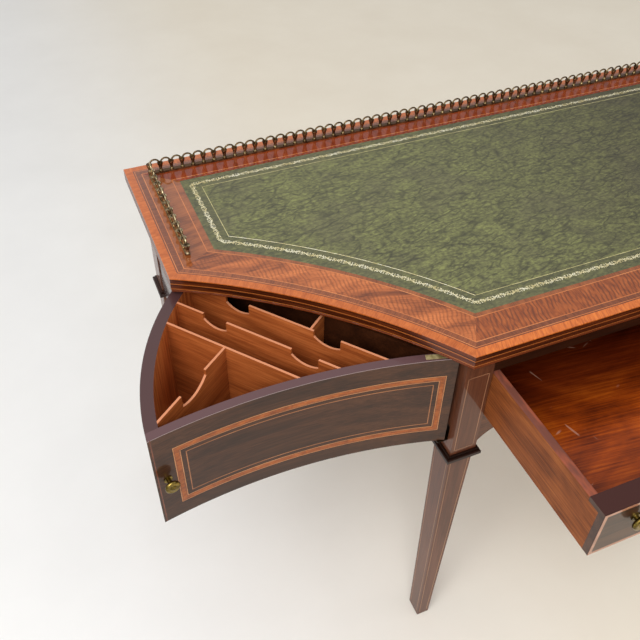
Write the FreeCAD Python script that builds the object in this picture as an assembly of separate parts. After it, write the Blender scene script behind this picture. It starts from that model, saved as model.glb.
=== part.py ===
import FreeCAD, Part
import math
import os
from FreeCAD import Vector

os.makedirs("parts", exist_ok=True)

# Writing table with two concave front corners. A quadrant compartment swings out of
# each corner on a brass pivot beside the front leg, and a drawer slides over the kneehole.
# Frame: +Z up, front towards -Y, origin in the middle of the leather's upper face.
# The pieces are worked out from the floor up and lowered into that frame when saved.
# The left compartment and the drawer stand open, as the table is shown.

# Overall sizes, millimetres
overall_width = 1220.0
overall_depth = 610.0
writing_height = 762.0

# Table top outline
side_edge_length = 309.0
corner_width = 329.0
concave_radius = 885.0

# Table top section
veneer_thickness = 1.5
ground_thickness = 24.5
bead_height = 5.0
bead_round = 2.2
bead_setback = 0.6
quirk_height = 1.3
quirk_depth = 1.8

# Inlay lines in the top, measured inwards from its edge
crossband_width = 14.9
string_width = 1.2
outer_string_side_inset = 25.0
outer_string_back_inset = 25.0
outer_string_front_inset = 23.8
outer_string_concave_inset = 24.6
inner_string_side_inset = 67.8
inner_string_back_inset = 61.0
inner_string_front_inset = 65.0
inner_string_concave_inset = 67.7
leather_side_inset = 79.5
leather_back_inset = 69.5
leather_front_inset = 73.2
leather_concave_inset = 75.5
leather_thickness = 1.3

# Brass gallery
gallery_back_inset = 31.0
gallery_side_inset = 39.5
gallery_side_length = 235.0
gallery_pitch_wanted = 18.8
gallery_base_width = 7.6
gallery_base_height = 3.0
baluster_height = 16.0
baluster_widest_radius = 5.0
gallery_wire_radius = 1.45
gallery_wire_overlap = 0.3
baluster_height_shares = (0.0, 0.1, 0.22, 0.36, 0.6, 0.86, 1.0)
baluster_radius_shares = (0.74, 0.74, 0.54, 0.5, 0.68, 0.96, 1.0)

# Legs and collars
leg_block = 45.0
frieze_height = 212.0
front_leg_side_step = 5.5
front_leg_setback = 19.5
rear_leg_side_setback = 23.0
rear_leg_back_setback = 8.0
neck_side_relief = 4.0
neck_back_relief = 0.5
leg_taper_side = 17.0
leg_taper_back = 12.0
collar_height = 11.0
collar_step_height = 4.0
collar_step = 3.0
collar_projection = 7.0
collar_round = 2.0
foot_chamfer = 2.0

# Carcass boards and rails
rail_thickness = 18.0
rail_setback = 2.0
side_rail_clearance = 5.5
guide_thickness = 16.0
runner_width = 36.5
runner_thickness = 20.0
kicker_length = 440.0
top_rail_depth = 20.0
arch_board_thickness = 12.0
arch_board_setback = 3.0
arch_end_drop = 49.7
arch_shoulder_drop = 22.5
arch_crown_drop = 17.5
arch_shoulder_width = 50.0
arch_bend_across_share = 0.36
arch_bend_down_share = 0.37
stop_block_length = 40.0
stop_block_depth = 16.0
stop_block_height = 4.8
stop_block_offset = 80.0
bay_stop_length = 40.0
bay_stop_height = 60.0
bay_stop_lift = 60.0
bay_stop_end_inset = 52.0
fixing_block = 18.0
fixing_block_length = 40.0
fixing_block_offset_shares = (0.25, 0.7)

# Drawer
drawer_height = 89.4
drawer_top_drop = 70.8
drawer_side_clearance = 1.0
drawer_top_clearance = 1.5
seat_gap = 0.3
drawer_front_thickness = 30.0
drawer_lap = 19.0
drawer_half_pin = 8.0
drawer_side_thickness = 13.0
drawer_side_round = 3.0
drawer_back_thickness = 10.0
drawer_back_lowering = 8.0
drawer_bottom_thickness = 6.0
drawer_bottom_lift = 6.0
drawer_groove = 3.0
drawer_box_back = 200.0
drawer_open = 248.0
drawer_knob_inset = 56.0
drawer_knob_drop = 33.5
drawer_knob_neck_length = 4.5

# Swinging corner compartments
compartment_top_drop = 34.0
compartment_height = 178.0
board_overhang = 13.0
board_thickness = 13.0
board_end_beyond_pivot = 5.8
pivot_gap = 9.6
swing_radius = 422.0
arc_wall_thickness = 17.5
inner_wall_face = 14.0
inner_wall_thickness = 12.0
floor_thickness = 6.0
floor_lift = 4.0
divider_thickness = 3.4
outer_divider_place = 139.5
middle_divider_place = 98.0
inner_divider_place = 52.0
front_cross_corner_offset = 6.4
rear_cross_share = 0.4845
middle_far_notch_shares = (0.855, 0.757)
middle_near_notch_shares = (0.494, 0.388)
inner_far_notch_shares = (0.834, 0.736)
inner_near_notch_shares = (0.47, 0.364)
cross_notch_shares = (0.465, 0.598)
notch_step = 10.0
notch_depth = 20.0
notch_end_depth = 16.0
cross_notch_extra = 4.0
open_angle = 38.7
knob_end_inset = 15.0

# Turned brass knobs
knob_base_radius = 6.0
knob_base_thickness = 1.5
knob_neck_radius = 3.2
knob_neck_length = 10.0
knob_head_radius = 10.5
knob_head_thickness = 6.0
knob_button_radius = 5.0
knob_crown = 2.0
drawer_knob_share = 1.18

# Pivot fittings
pin_radius = 3.0
pin_clearance = 0.05
pin_depth = 12.0
pin_hole_extra = 1.0
leaf_length = 46.0
leaf_width = 9.0
leaf_thickness = 2.0
plate_thickness = 2.5
plate_width = 14.0
plate_length = 47.0
plate_end = 7.0
bracket_width = 16.0
bracket_rise = 32.0

# One overrun for every cut
overrun = 10.0

# Worked-out places
half_width = overall_width / 2
half_depth = overall_depth / 2
under_top = writing_height - veneer_thickness - ground_thickness
veneer_bottom = writing_height - veneer_thickness
block_bottom = under_top - frieze_height
side_corner = Vector(-half_width, half_depth - side_edge_length, 0)
front_corner = Vector(-half_width + corner_width, -half_depth, 0)
corner_chord = front_corner - side_corner
corner_middle = (front_corner + side_corner) * 0.5
chord_rise = math.sqrt(concave_radius ** 2 - (corner_chord.Length / 2) ** 2)
chord_normal = Vector(corner_chord.y, -corner_chord.x, 0).normalize()
concave_centre = corner_middle + chord_normal * chord_rise
front_leg_left = front_corner.x + front_leg_side_step
front_leg_right = front_leg_left + leg_block
front_leg_front = -half_depth + front_leg_setback
front_leg_back = front_leg_front + leg_block
rear_leg_left = -half_width + rear_leg_side_setback
rear_leg_right = rear_leg_left + leg_block
rear_leg_back = half_depth - rear_leg_back_setback
rear_leg_front = rear_leg_back - leg_block
opening_half = -front_leg_right
partition_face = opening_half + guide_thickness
partition_outer = partition_face + rail_thickness
rear_rail_back = rear_leg_back - rail_setback
rear_rail_front = rear_rail_back - rail_thickness
drawer_top = writing_height - drawer_top_drop
drawer_bottom = drawer_top - drawer_height
runner_top = drawer_bottom - seat_gap
runner_bottom = runner_top - runner_thickness
drawer_half = opening_half - drawer_side_clearance
compartment_top = writing_height - compartment_top_drop
compartment_bottom = compartment_top - compartment_height
board_outer_radius = concave_radius + board_overhang
board_inner_radius = board_outer_radius + board_thickness
pivot_radius = board_outer_radius + board_thickness / 2
pivot_x = front_leg_left - pivot_gap
pivot_reach = pivot_x - concave_centre.x
pivot_y = concave_centre.y + math.sqrt(pivot_radius ** 2 - pivot_reach ** 2)
pivot = Vector(pivot_x, pivot_y, 0)
pivot_angle = math.atan2(pivot_y - concave_centre.y, pivot_reach)
arc_inner_radius = swing_radius - arc_wall_thickness
leather_top = veneer_bottom + leather_thickness

x_axis = Vector(1, 0, 0)
y_axis = Vector(0, 1, 0)
z_axis = Vector(0, 0, 1)
origin = Vector(0, 0, 0)


def block(x0, x1, y0, y1, z0, z1):
    """A box between two corners."""
    return Part.makeBox(x1 - x0, y1 - y0, z1 - z0, Vector(x0, y0, z0))


def round_bar(centre, radius, z0, z1):
    """An upright cylinder from z0 to z1."""
    return Part.makeCylinder(radius, z1 - z0, Vector(centre.x, centre.y, z0), z_axis)


def mirrored(shape):
    """The same piece on the other side of the table."""
    return shape.mirror(origin, x_axis)


def turned(shape, angle):
    """A piece swung about the left pivot."""
    copy = shape.copy()
    copy.rotate(pivot, z_axis, angle)
    return copy


def shifted(shape, dx, dy, dz):
    copy = shape.copy()
    copy.translate(Vector(dx, dy, dz))
    return copy


def save(name, shape):
    lowered = shifted(shape, 0, 0, -leather_top)
    lowered.exportStep("parts/" + name + ".step")
    print(name, len(shape.Solids), "solids", round(shape.Volume / 1000, 2), "cm3")


# Table top: outline with straight sides and two concave front corners

def outline(side, back, front, concave):
    """Face of the top's outline, moved inwards by the four insets."""
    radius = concave_radius + concave
    left = -half_width + side
    rear = half_depth - back
    face_y = -half_depth + front
    reach_x = left - concave_centre.x
    reach_y = face_y - concave_centre.y
    side_point = Vector(left, concave_centre.y + math.sqrt(radius ** 2 - reach_x ** 2), 0)
    front_point = Vector(concave_centre.x + math.sqrt(radius ** 2 - reach_y ** 2), face_y, 0)
    middle_way = (side_point + front_point) * 0.5 - concave_centre
    middle_point = concave_centre + middle_way.normalize() * radius
    points = [Vector(left, rear, 0), side_point, middle_point, front_point]
    right = [Vector(-p.x, p.y, 0) for p in points]
    edges = [
        Part.makeLine(points[0], points[1]),
        Part.Arc(points[1], points[2], points[3]).toShape(),
        Part.makeLine(points[3], right[3]),
        Part.Arc(right[3], right[2], right[1]).toShape(),
        Part.makeLine(right[1], right[0]),
        Part.makeLine(right[0], points[0]),
    ]
    return Part.Face(Part.Wire(edges))


def slab(insets, z0, z1):
    """The outline at the given insets, raised from z0 to z1."""
    face = outline(*insets)
    face.translate(Vector(0, 0, z0))
    return face.extrude(Vector(0, 0, z1 - z0))


def ring(outer, inner, z0, z1):
    """A flat band between two outlines."""
    return slab(outer, z0, z1).cut(slab(inner, z0, z1))


def even(inset):
    return (inset, inset, inset, inset)


def make_ground():
    """The ground board, with a quirk and a half-round bead along its lower edge."""
    quirk_bottom = under_top + bead_height
    quirk_top = quirk_bottom + quirk_height
    bead = slab(even(bead_setback), under_top, quirk_bottom)
    level_edges = [e for e in bead.Edges if abs(e.tangentAt(e.FirstParameter).z) < 0.5]
    bead = bead.makeFillet(bead_round, level_edges)
    neck = slab(even(quirk_depth + bead_setback), quirk_bottom, quirk_top)
    body = slab(even(0), quirk_top, veneer_bottom)
    return body.fuse([neck, bead]).removeSplitter()


inner_string = (inner_string_side_inset, inner_string_back_inset,
                inner_string_front_inset, inner_string_concave_inset)
inner_string_inside = tuple(inset + string_width for inset in inner_string)
outer_string = (outer_string_side_inset, outer_string_back_inset,
                outer_string_front_inset, outer_string_concave_inset)
outer_string_inside = tuple(inset + string_width for inset in outer_string)
leather_line = (leather_side_inset, leather_back_inset,
                leather_front_inset, leather_concave_inset)
crossband_inside = even(crossband_width)
crossband_string_inside = even(crossband_width + string_width)


def band(outer, inner):
    return ring(outer, inner, veneer_bottom, writing_height)


save("table_top", make_ground())
save("top_crossband", band(even(0), crossband_inside))
save("top_stringing", Part.makeCompound([
    band(crossband_inside, crossband_string_inside),
    band(outer_string, outer_string_inside),
    band(inner_string, inner_string_inside),
]))
save("top_border", Part.makeCompound([
    band(crossband_string_inside, outer_string),
    band(outer_string_inside, inner_string),
    band(inner_string_inside, leather_line),
]))
save("leather_panel", slab(leather_line, veneer_bottom, leather_top))


# Gallery: a base strip, turned balusters and a row of round arches

def make_baluster(place):
    """A turned baluster on the base strip."""
    outline_points = [Vector(0, 0, 0)]
    for height_share, radius_share in zip(baluster_height_shares, baluster_radius_shares):
        radius = baluster_widest_radius * radius_share
        outline_points.append(Vector(radius, 0, baluster_height * height_share))
    outline_points.append(Vector(0, 0, baluster_height))
    outline_points.append(Vector(0, 0, 0))
    profile = Part.Face(Part.makePolygon(outline_points))
    turned_piece = profile.revolve(origin, z_axis, 360)
    turned_piece.translate(place)
    return turned_piece


def make_gallery_run(length, first_baluster):
    """A run along +X from x = 0, its base strip resting on z = 0."""
    bays = max(1, round(length / gallery_pitch_wanted))
    pitch = length / bays
    half_base = gallery_base_width / 2
    run = block(0, length, -half_base, half_base, 0, gallery_base_height)
    pieces = []
    for index in range(first_baluster, bays + 1):
        pieces.append(make_baluster(Vector(index * pitch, 0, gallery_base_height)))
    spring = gallery_base_height + baluster_height - gallery_wire_radius
    arch_radius = pitch / 2 - gallery_wire_radius + gallery_wire_overlap
    for index in range(bays):
        middle = Vector(index * pitch + pitch / 2, 0, spring)
        foot = middle - x_axis * arch_radius
        wire_end = Part.Face(Part.Wire(Part.makeCircle(gallery_wire_radius, foot, z_axis)))
        pieces.append(wire_end.revolve(middle, y_axis, 180))
    return run.fuse(pieces)


rear_run_length = overall_width - 2 * gallery_side_inset
gallery_y = half_depth - gallery_back_inset
gallery_x = half_width - gallery_side_inset
rear_run = make_gallery_run(rear_run_length, 0)
rear_run.translate(Vector(-rear_run_length / 2, gallery_y, writing_height))
side_run = make_gallery_run(gallery_side_length, 1)
side_clip = block(gallery_base_width / 2, gallery_side_length + overrun, -overrun, overrun,
                  -overrun, baluster_height + gallery_pitch_wanted + overrun)
side_run = side_run.common(side_clip)
side_run.rotate(origin, z_axis, -90)
side_run.translate(Vector(-gallery_x, gallery_y, writing_height))
save("gallery_rear", rear_run)
save("gallery_left", side_run)
save("gallery_right", mirrored(side_run))


# Legs: square block, neck under the collar, then a taper on the two inner faces

def square(side_relief, back_relief, inset, z):
    """Section of the front left leg, relieved on its right and its back."""
    left = front_leg_left + inset
    right = front_leg_right - side_relief - inset
    front = front_leg_front + inset
    back = front_leg_back - back_relief - inset
    corners = [
        Vector(left, front, z),
        Vector(right, front, z),
        Vector(right, back, z),
        Vector(left, back, z),
    ]
    return Part.makePolygon(corners + [corners[0]])


def make_leg():
    neck_bottom = block_bottom - collar_height
    top = block(front_leg_left, front_leg_right, front_leg_front, front_leg_back,
                block_bottom, under_top)
    neck = block(front_leg_left, front_leg_right - neck_side_relief,
                 front_leg_front, front_leg_back - neck_back_relief,
                 neck_bottom, block_bottom)
    foot_side = neck_side_relief + leg_taper_side
    foot_back = neck_back_relief + leg_taper_back
    upper = square(neck_side_relief, neck_back_relief, 0, neck_bottom)
    lower = square(foot_side, foot_back, 0, foot_chamfer)
    ground = square(foot_side, foot_back, foot_chamfer, 0)
    taper = Part.makeLoft([lower, upper], True, True)
    foot = Part.makeLoft([ground, lower], True, True)
    return top.fuse([neck, taper, foot]).removeSplitter()


def make_collar():
    """Two-step moulding round the neck."""
    step_top = block_bottom
    step_bottom = block_bottom - collar_step_height
    neck_bottom = block_bottom - collar_height
    step = block(front_leg_left - collar_step, front_leg_right + collar_step,
                 front_leg_front - collar_step, front_leg_back + collar_step,
                 step_bottom, step_top)
    band_block = block(front_leg_left - collar_projection, front_leg_right + collar_projection,
                       front_leg_front - collar_projection, front_leg_back + collar_projection,
                       neck_bottom, step_bottom)
    upper_edges = [e for e in band_block.Edges if e.BoundBox.ZMin > step_bottom - collar_round / 2]
    band_block = band_block.makeFillet(collar_round, upper_edges)
    neck = block(front_leg_left, front_leg_right - neck_side_relief,
                 front_leg_front, front_leg_back - neck_back_relief,
                 neck_bottom, step_top)
    return band_block.fuse(step).cut(neck).removeSplitter()


def to_rear(shape):
    """The front left piece, turned back to front, at the rear left corner."""
    flipped = shape.mirror(origin, y_axis)
    dx = rear_leg_left - front_leg_left
    dy = rear_leg_back + front_leg_front
    return shifted(flipped, dx, dy, 0)


bracket_top = compartment_bottom - seat_gap
bracket_bottom = bracket_top - plate_thickness
leaf_mortise = block(front_leg_left, front_leg_left + plate_thickness,
                     pivot_y - bracket_width / 2, pivot_y + bracket_width / 2,
                     bracket_bottom, bracket_bottom + bracket_rise)
front_left_leg = make_leg().cut(leaf_mortise)
rear_left_leg = to_rear(make_leg())
front_left_collar = make_collar()
rear_left_collar = to_rear(front_left_collar)
save("leg_front_left", front_left_leg)
save("leg_front_right", mirrored(front_left_leg))
save("leg_rear_left", rear_left_leg)
save("leg_rear_right", mirrored(rear_left_leg))
save("leg_collars", Part.makeCompound([
    front_left_collar,
    mirrored(front_left_collar),
    rear_left_collar,
    mirrored(rear_left_collar),
]))


# Carcass: back and side rails, partitions, and the rails round the drawer

side_rail_outer = rear_leg_left + rail_setback
side_rail_inner = side_rail_outer + rail_thickness
side_rail_reach = swing_radius + side_rail_clearance
side_rail_front = pivot_y + math.sqrt(side_rail_reach ** 2 - (pivot_x - side_rail_inner) ** 2)
side_rail_length = rear_leg_front - side_rail_front
side_rail = block(side_rail_outer, side_rail_inner, side_rail_front, rear_leg_front,
                  block_bottom, under_top)
partition = block(-partition_outer, -partition_face, front_leg_back, rear_rail_front,
                  block_bottom, under_top)
save("rear_rail", block(rear_leg_right, -rear_leg_right, rear_rail_front, rear_rail_back,
                        block_bottom, under_top))
save("side_rail_left", side_rail)
save("side_rail_right", mirrored(side_rail))
save("partition_left", partition)
save("partition_right", mirrored(partition))
top_rail_front = front_leg_front + rail_setback
save("drawer_top_rail", block(-opening_half, opening_half,
                              top_rail_front, top_rail_front + top_rail_depth,
                              drawer_top + drawer_top_clearance, under_top))
save("drawer_bottom_rail", block(-opening_half, opening_half, front_leg_front, front_leg_back,
                                 runner_bottom, runner_top))


def make_knee_arch():
    """The shaped board under the drawer rail, drawn from the left leg to the middle."""
    top = runner_bottom
    left_end = Vector(-opening_half, 0, top - arch_end_drop)
    shoulder = Vector(-opening_half + arch_shoulder_width, 0, top - arch_shoulder_drop)
    bend_x = -opening_half + arch_shoulder_width * arch_bend_across_share
    shoulder_fall = arch_end_drop - arch_shoulder_drop
    bend_z = shoulder.z - shoulder_fall * arch_bend_down_share
    bend = Vector(bend_x, 0, bend_z)
    crown = Vector(0, 0, top - arch_crown_drop)
    right_end = Vector(-left_end.x, 0, left_end.z)
    right_bend = Vector(-bend.x, 0, bend.z)
    right_shoulder = Vector(-shoulder.x, 0, shoulder.z)
    edges = [
        Part.Arc(left_end, bend, shoulder).toShape(),
        Part.Arc(shoulder, crown, right_shoulder).toShape(),
        Part.Arc(right_shoulder, right_bend, right_end).toShape(),
        Part.makeLine(right_end, Vector(opening_half, 0, top)),
        Part.makeLine(Vector(opening_half, 0, top), Vector(-opening_half, 0, top)),
        Part.makeLine(Vector(-opening_half, 0, top), left_end),
    ]
    board = Part.Face(Part.Wire(edges)).extrude(Vector(0, arch_board_thickness, 0))
    return shifted(board, 0, front_leg_front + arch_board_setback, 0)


save("knee_arch", make_knee_arch())

bearer = block(-partition_face, -partition_face + runner_width, front_leg_back, rear_rail_front,
               runner_bottom, runner_top)
guide = block(-partition_face, -opening_half, front_leg_back, rear_rail_front,
              runner_top, drawer_top)
runner = bearer.fuse(guide).removeSplitter()
kicker = block(-partition_face, -partition_face + runner_width,
               front_leg_back, front_leg_back + kicker_length,
               drawer_top + drawer_top_clearance, under_top)
save("drawer_runners", Part.makeCompound([runner, mirrored(runner)]))
save("drawer_kickers", Part.makeCompound([kicker, mirrored(kicker)]))

front_inner_face = front_leg_front + drawer_front_thickness
drawer_stop = block(-stop_block_offset - stop_block_length / 2,
                    -stop_block_offset + stop_block_length / 2,
                    front_inner_face + seat_gap,
                    front_inner_face + seat_gap + stop_block_depth,
                    runner_top, runner_top + stop_block_height)
save("drawer_stops", Part.makeCompound([drawer_stop, mirrored(drawer_stop)]))

inner_wall_outer = pivot_x - inner_wall_face + inner_wall_thickness
bay_stop_back = pivot_y + swing_radius - bay_stop_end_inset
bay_stop = block(inner_wall_outer + seat_gap, -partition_outer,
                 bay_stop_back - bay_stop_length, bay_stop_back,
                 compartment_bottom + bay_stop_lift,
                 compartment_bottom + bay_stop_lift + bay_stop_height)
save("bay_stops", Part.makeCompound([bay_stop, mirrored(bay_stop)]))

fixing_blocks = []
for share in fixing_block_offset_shares:
    along_back = share * -rear_leg_right
    fixing_blocks.append(block(-along_back - fixing_block_length / 2,
                               -along_back + fixing_block_length / 2,
                               rear_rail_front - fixing_block, rear_rail_front,
                               under_top - fixing_block, under_top))
    along_side = side_rail_front + share * (side_rail_length - fixing_block_length)
    fixing_blocks.append(block(side_rail_inner, side_rail_inner + fixing_block,
                               along_side, along_side + fixing_block_length,
                               under_top - fixing_block, under_top))
save("top_fixing_blocks", Part.makeCompound(
    fixing_blocks + [mirrored(piece) for piece in fixing_blocks]))


# Knobs

def make_knob(size_share, neck_length):
    """A turned knob standing on z = 0, its axis along +Z, with a domed button on its head."""
    base = knob_base_radius * size_share
    neck = knob_neck_radius * size_share
    head = knob_head_radius * size_share
    button = knob_button_radius * size_share
    dome = knob_crown * size_share
    rim_round = knob_head_thickness * size_share / 2
    base_top = knob_base_thickness * size_share
    neck_top = base_top + neck_length
    rim = neck_top + rim_round
    head_top = rim + rim_round
    crown_top = head_top + dome
    dome_radius = (button ** 2 + dome ** 2) / (2 * dome)
    half_turn = math.asin(button / dome_radius) / 2
    dome_side = dome_radius * math.sin(half_turn)
    dome_middle = crown_top - dome_radius + dome_radius * math.cos(half_turn)
    edges = [
        Part.makeLine(Vector(0, 0, 0), Vector(base, 0, 0)),
        Part.makeLine(Vector(base, 0, 0), Vector(base, 0, base_top)),
        Part.makeLine(Vector(base, 0, base_top), Vector(neck, 0, base_top)),
        Part.makeLine(Vector(neck, 0, base_top), Vector(neck, 0, neck_top)),
        Part.makeLine(Vector(neck, 0, neck_top), Vector(head - rim_round, 0, neck_top)),
        Part.Arc(Vector(head - rim_round, 0, neck_top), Vector(head, 0, rim),
                 Vector(head - rim_round, 0, head_top)).toShape(),
        Part.makeLine(Vector(head - rim_round, 0, head_top), Vector(button, 0, head_top)),
        Part.Arc(Vector(button, 0, head_top), Vector(dome_side, 0, dome_middle),
                 Vector(0, 0, crown_top)).toShape(),
        Part.makeLine(Vector(0, 0, crown_top), Vector(0, 0, 0)),
    ]
    return Part.Solid(Part.Face(Part.Wire(edges)).revolve(origin, z_axis, 360))


# Drawer, made closed and then drawn out

def make_drawer():
    front_y = front_leg_front
    bottom_low = drawer_bottom + drawer_bottom_lift
    bottom_high = bottom_low + drawer_bottom_thickness
    inner_half = drawer_half - drawer_side_thickness
    side_front = front_inner_face - drawer_lap
    bottom = block(-inner_half - drawer_groove, inner_half + drawer_groove,
                   front_inner_face - drawer_groove, drawer_box_back, bottom_low, bottom_high)
    front = block(-drawer_half, drawer_half, front_y, front_inner_face, drawer_bottom, drawer_top)
    pin_bottom = drawer_top - drawer_half_pin
    lap = block(-drawer_half - overrun, -inner_half, side_front, front_inner_face + overrun,
                drawer_bottom - overrun, pin_bottom)
    half_pin = block(-drawer_half - overrun, -inner_half + overrun,
                     side_front - overrun, front_inner_face, pin_bottom, drawer_top + overrun)
    front = front.cut([lap, mirrored(lap), bottom])
    side = block(-drawer_half, -inner_half, side_front, drawer_box_back, drawer_bottom, drawer_top)
    top_edges = [e for e in side.Edges
                 if e.BoundBox.ZMin > drawer_bottom + drawer_height / 2
                 and e.BoundBox.YLength > drawer_lap]
    side = side.makeFillet(drawer_side_round, top_edges).cut([bottom, half_pin])
    back = block(-inner_half, inner_half, drawer_box_back - drawer_back_thickness,
                 drawer_box_back, bottom_high, drawer_top - drawer_back_lowering)
    knob = make_knob(drawer_knob_share, drawer_knob_neck_length)
    knob.rotate(origin, x_axis, 90)
    knob.translate(Vector(-drawer_half + drawer_knob_inset, front_y,
                          drawer_top - drawer_knob_drop))
    return {
        "drawer_front": front,
        "drawer_side_left": side,
        "drawer_side_right": mirrored(side),
        "drawer_back": back,
        "drawer_bottom": bottom,
        "drawer_knobs": Part.makeCompound([knob, mirrored(knob)]),
    }


for name, shape in make_drawer().items():
    save(name, shifted(shape, 0, -drawer_open, 0))


# Swinging compartment: all pieces are made shut, in the left corner

low = compartment_bottom - overrun
high = compartment_top + overrun
inside_x = pivot_x - inner_wall_face
wall_x = inside_x + inner_wall_thickness
swing = swing_radius + overrun


def disc(centre, radius, z0=compartment_bottom, z1=compartment_top):
    return round_bar(centre, radius, z0, z1)


def west_of(x):
    """Everything to the left of x that the compartment can reach."""
    return block(pivot_x - swing, x, pivot_y - swing, pivot_y + swing, low, high)


def interior(z0, z1):
    """The space inside the four walls, from z0 to z1."""
    space = disc(pivot, arc_inner_radius, z0, z1).common(west_of(inside_x))
    return space.cut(disc(concave_centre, board_inner_radius, low, high))


def along_board(arc_length, radius):
    """Point on a circle about the concave centre, an arc length from the pivot."""
    angle = pivot_angle + arc_length / board_outer_radius
    return concave_centre + Vector(math.cos(angle), math.sin(angle), 0) * radius


def board_axis():
    """Direction along the board at the pivot, towards its free end."""
    return Vector(-math.sin(pivot_angle), math.cos(pivot_angle), 0)


def leaf_box(z0, z1):
    """A hinge leaf lying along the board from the pivot."""
    shape = block(-board_end_beyond_pivot, leaf_length - board_end_beyond_pivot,
                  -leaf_width / 2, leaf_width / 2, z0, z1)
    shape.rotate(origin, z_axis, math.degrees(math.atan2(board_axis().y, board_axis().x)))
    shape.translate(pivot)
    return shape


def make_leaves():
    hole = round_bar(pivot, pin_radius + pin_clearance, low, high)
    upper = leaf_box(compartment_top - leaf_thickness, compartment_top)
    lower = leaf_box(compartment_bottom, compartment_bottom + leaf_thickness)
    return Part.makeCompound([upper.cut(hole), lower.cut(hole)])


def make_board():
    """The concave front, with sunk leaves and pin holes at the pivot end."""
    board = disc(concave_centre, board_inner_radius)
    board = board.cut(disc(concave_centre, board_outer_radius, low, high))
    board = board.common(disc(pivot, swing_radius, low, high))
    end_point = along_board(-board_end_beyond_pivot, board_outer_radius)
    end_angle = math.degrees(pivot_angle - board_end_beyond_pivot / board_outer_radius)
    keep = block(-swing, swing, 0, 2 * swing, low, high)
    keep.rotate(origin, z_axis, end_angle)
    keep.translate(end_point)
    board = board.common(keep)
    board = board.cut(leaf_box(compartment_top - leaf_thickness, high))
    board = board.cut(leaf_box(low, compartment_bottom + leaf_thickness))
    hole_radius = pin_radius + pin_clearance
    hole_depth = pin_depth + pin_hole_extra
    upper_hole = round_bar(pivot, hole_radius, compartment_top - hole_depth, high)
    lower_hole = round_bar(pivot, hole_radius, low, compartment_bottom + hole_depth)
    return board.cut([upper_hole, lower_hole])


def make_arc_wall():
    wall = disc(pivot, swing_radius).cut(disc(pivot, arc_inner_radius, low, high))
    wall = wall.common(west_of(wall_x))
    return wall.cut(disc(concave_centre, board_inner_radius, low, high))


def make_inner_wall():
    wall = block(inside_x, wall_x, pivot_y - swing, pivot_y + swing,
                 compartment_bottom, compartment_top)
    wall = wall.common(disc(pivot, arc_inner_radius, low, high))
    return wall.cut(disc(concave_centre, board_inner_radius, low, high))


def notch(start, end, extra_depth, cut_thickness):
    """Scooped finger notch for a divider, along +X from start to end, across Y."""
    top = compartment_top
    step_z = top - notch_step
    middle_z = top - notch_depth - extra_depth
    end_z = top - notch_end_depth - extra_depth
    middle = (start + end) / 2
    corners = [
        Vector(start, 0, high),
        Vector(start, 0, step_z),
        Vector(end, 0, end_z),
        Vector(end, 0, high),
    ]
    scoop = Part.Arc(corners[1], Vector(middle, 0, middle_z), corners[2]).toShape()
    edges = [
        Part.makeLine(corners[0], corners[1]),
        scoop,
        Part.makeLine(corners[2], corners[3]),
        Part.makeLine(corners[3], corners[0]),
    ]
    prism = Part.Face(Part.Wire(edges)).extrude(Vector(0, cut_thickness, 0))
    return shifted(prism, 0, -cut_thickness / 2, 0)


def long_divider(place, notches):
    """A divider parallel to the inner wall, at a distance from the pivot."""
    middle = pivot_x - place
    half = divider_thickness / 2
    board = block(middle - half, middle + half, pivot_y, pivot_y + swing,
                  divider_low, compartment_top)
    board = board.common(interior(divider_low, compartment_top))
    for start_share, end_share in notches:
        cutter = notch(start_share * arc_inner_radius, end_share * arc_inner_radius, 0,
                       divider_thickness + overrun)
        cutter.rotate(origin, z_axis, 90)
        cutter.translate(Vector(middle, pivot_y, 0))
        board = board.cut(cutter)
    return board


def cross_divider(place, left, right, notches):
    """A divider across the compartment, between two distances from the pivot."""
    middle = pivot_y + place
    half = divider_thickness / 2
    board = block(pivot_x - left, pivot_x - right, middle - half, middle + half,
                  divider_low, compartment_top)
    board = board.common(interior(divider_low, compartment_top))
    for start_share, end_share in notches:
        cutter = notch(start_share * arc_inner_radius, end_share * arc_inner_radius,
                       cross_notch_extra, divider_thickness + overrun)
        cutter = cutter.mirror(origin, x_axis)
        cutter.translate(Vector(pivot_x, middle, 0))
        board = board.cut(cutter)
    return board


divider_low = compartment_bottom + floor_lift + floor_thickness
middle_notches = [middle_far_notch_shares, middle_near_notch_shares]
inner_notches = [inner_far_notch_shares, inner_near_notch_shares]
half_divider = divider_thickness / 2


def inner_corner_place():
    """How far behind the pivot the board's inner face meets the arc wall's inner face."""
    along = (arc_inner_radius ** 2 - board_inner_radius ** 2 + pivot_radius ** 2)
    along = along / (2 * pivot_radius)
    across = math.sqrt(arc_inner_radius ** 2 - along ** 2)
    return -along * math.sin(pivot_angle) + across * math.cos(pivot_angle)


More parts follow.
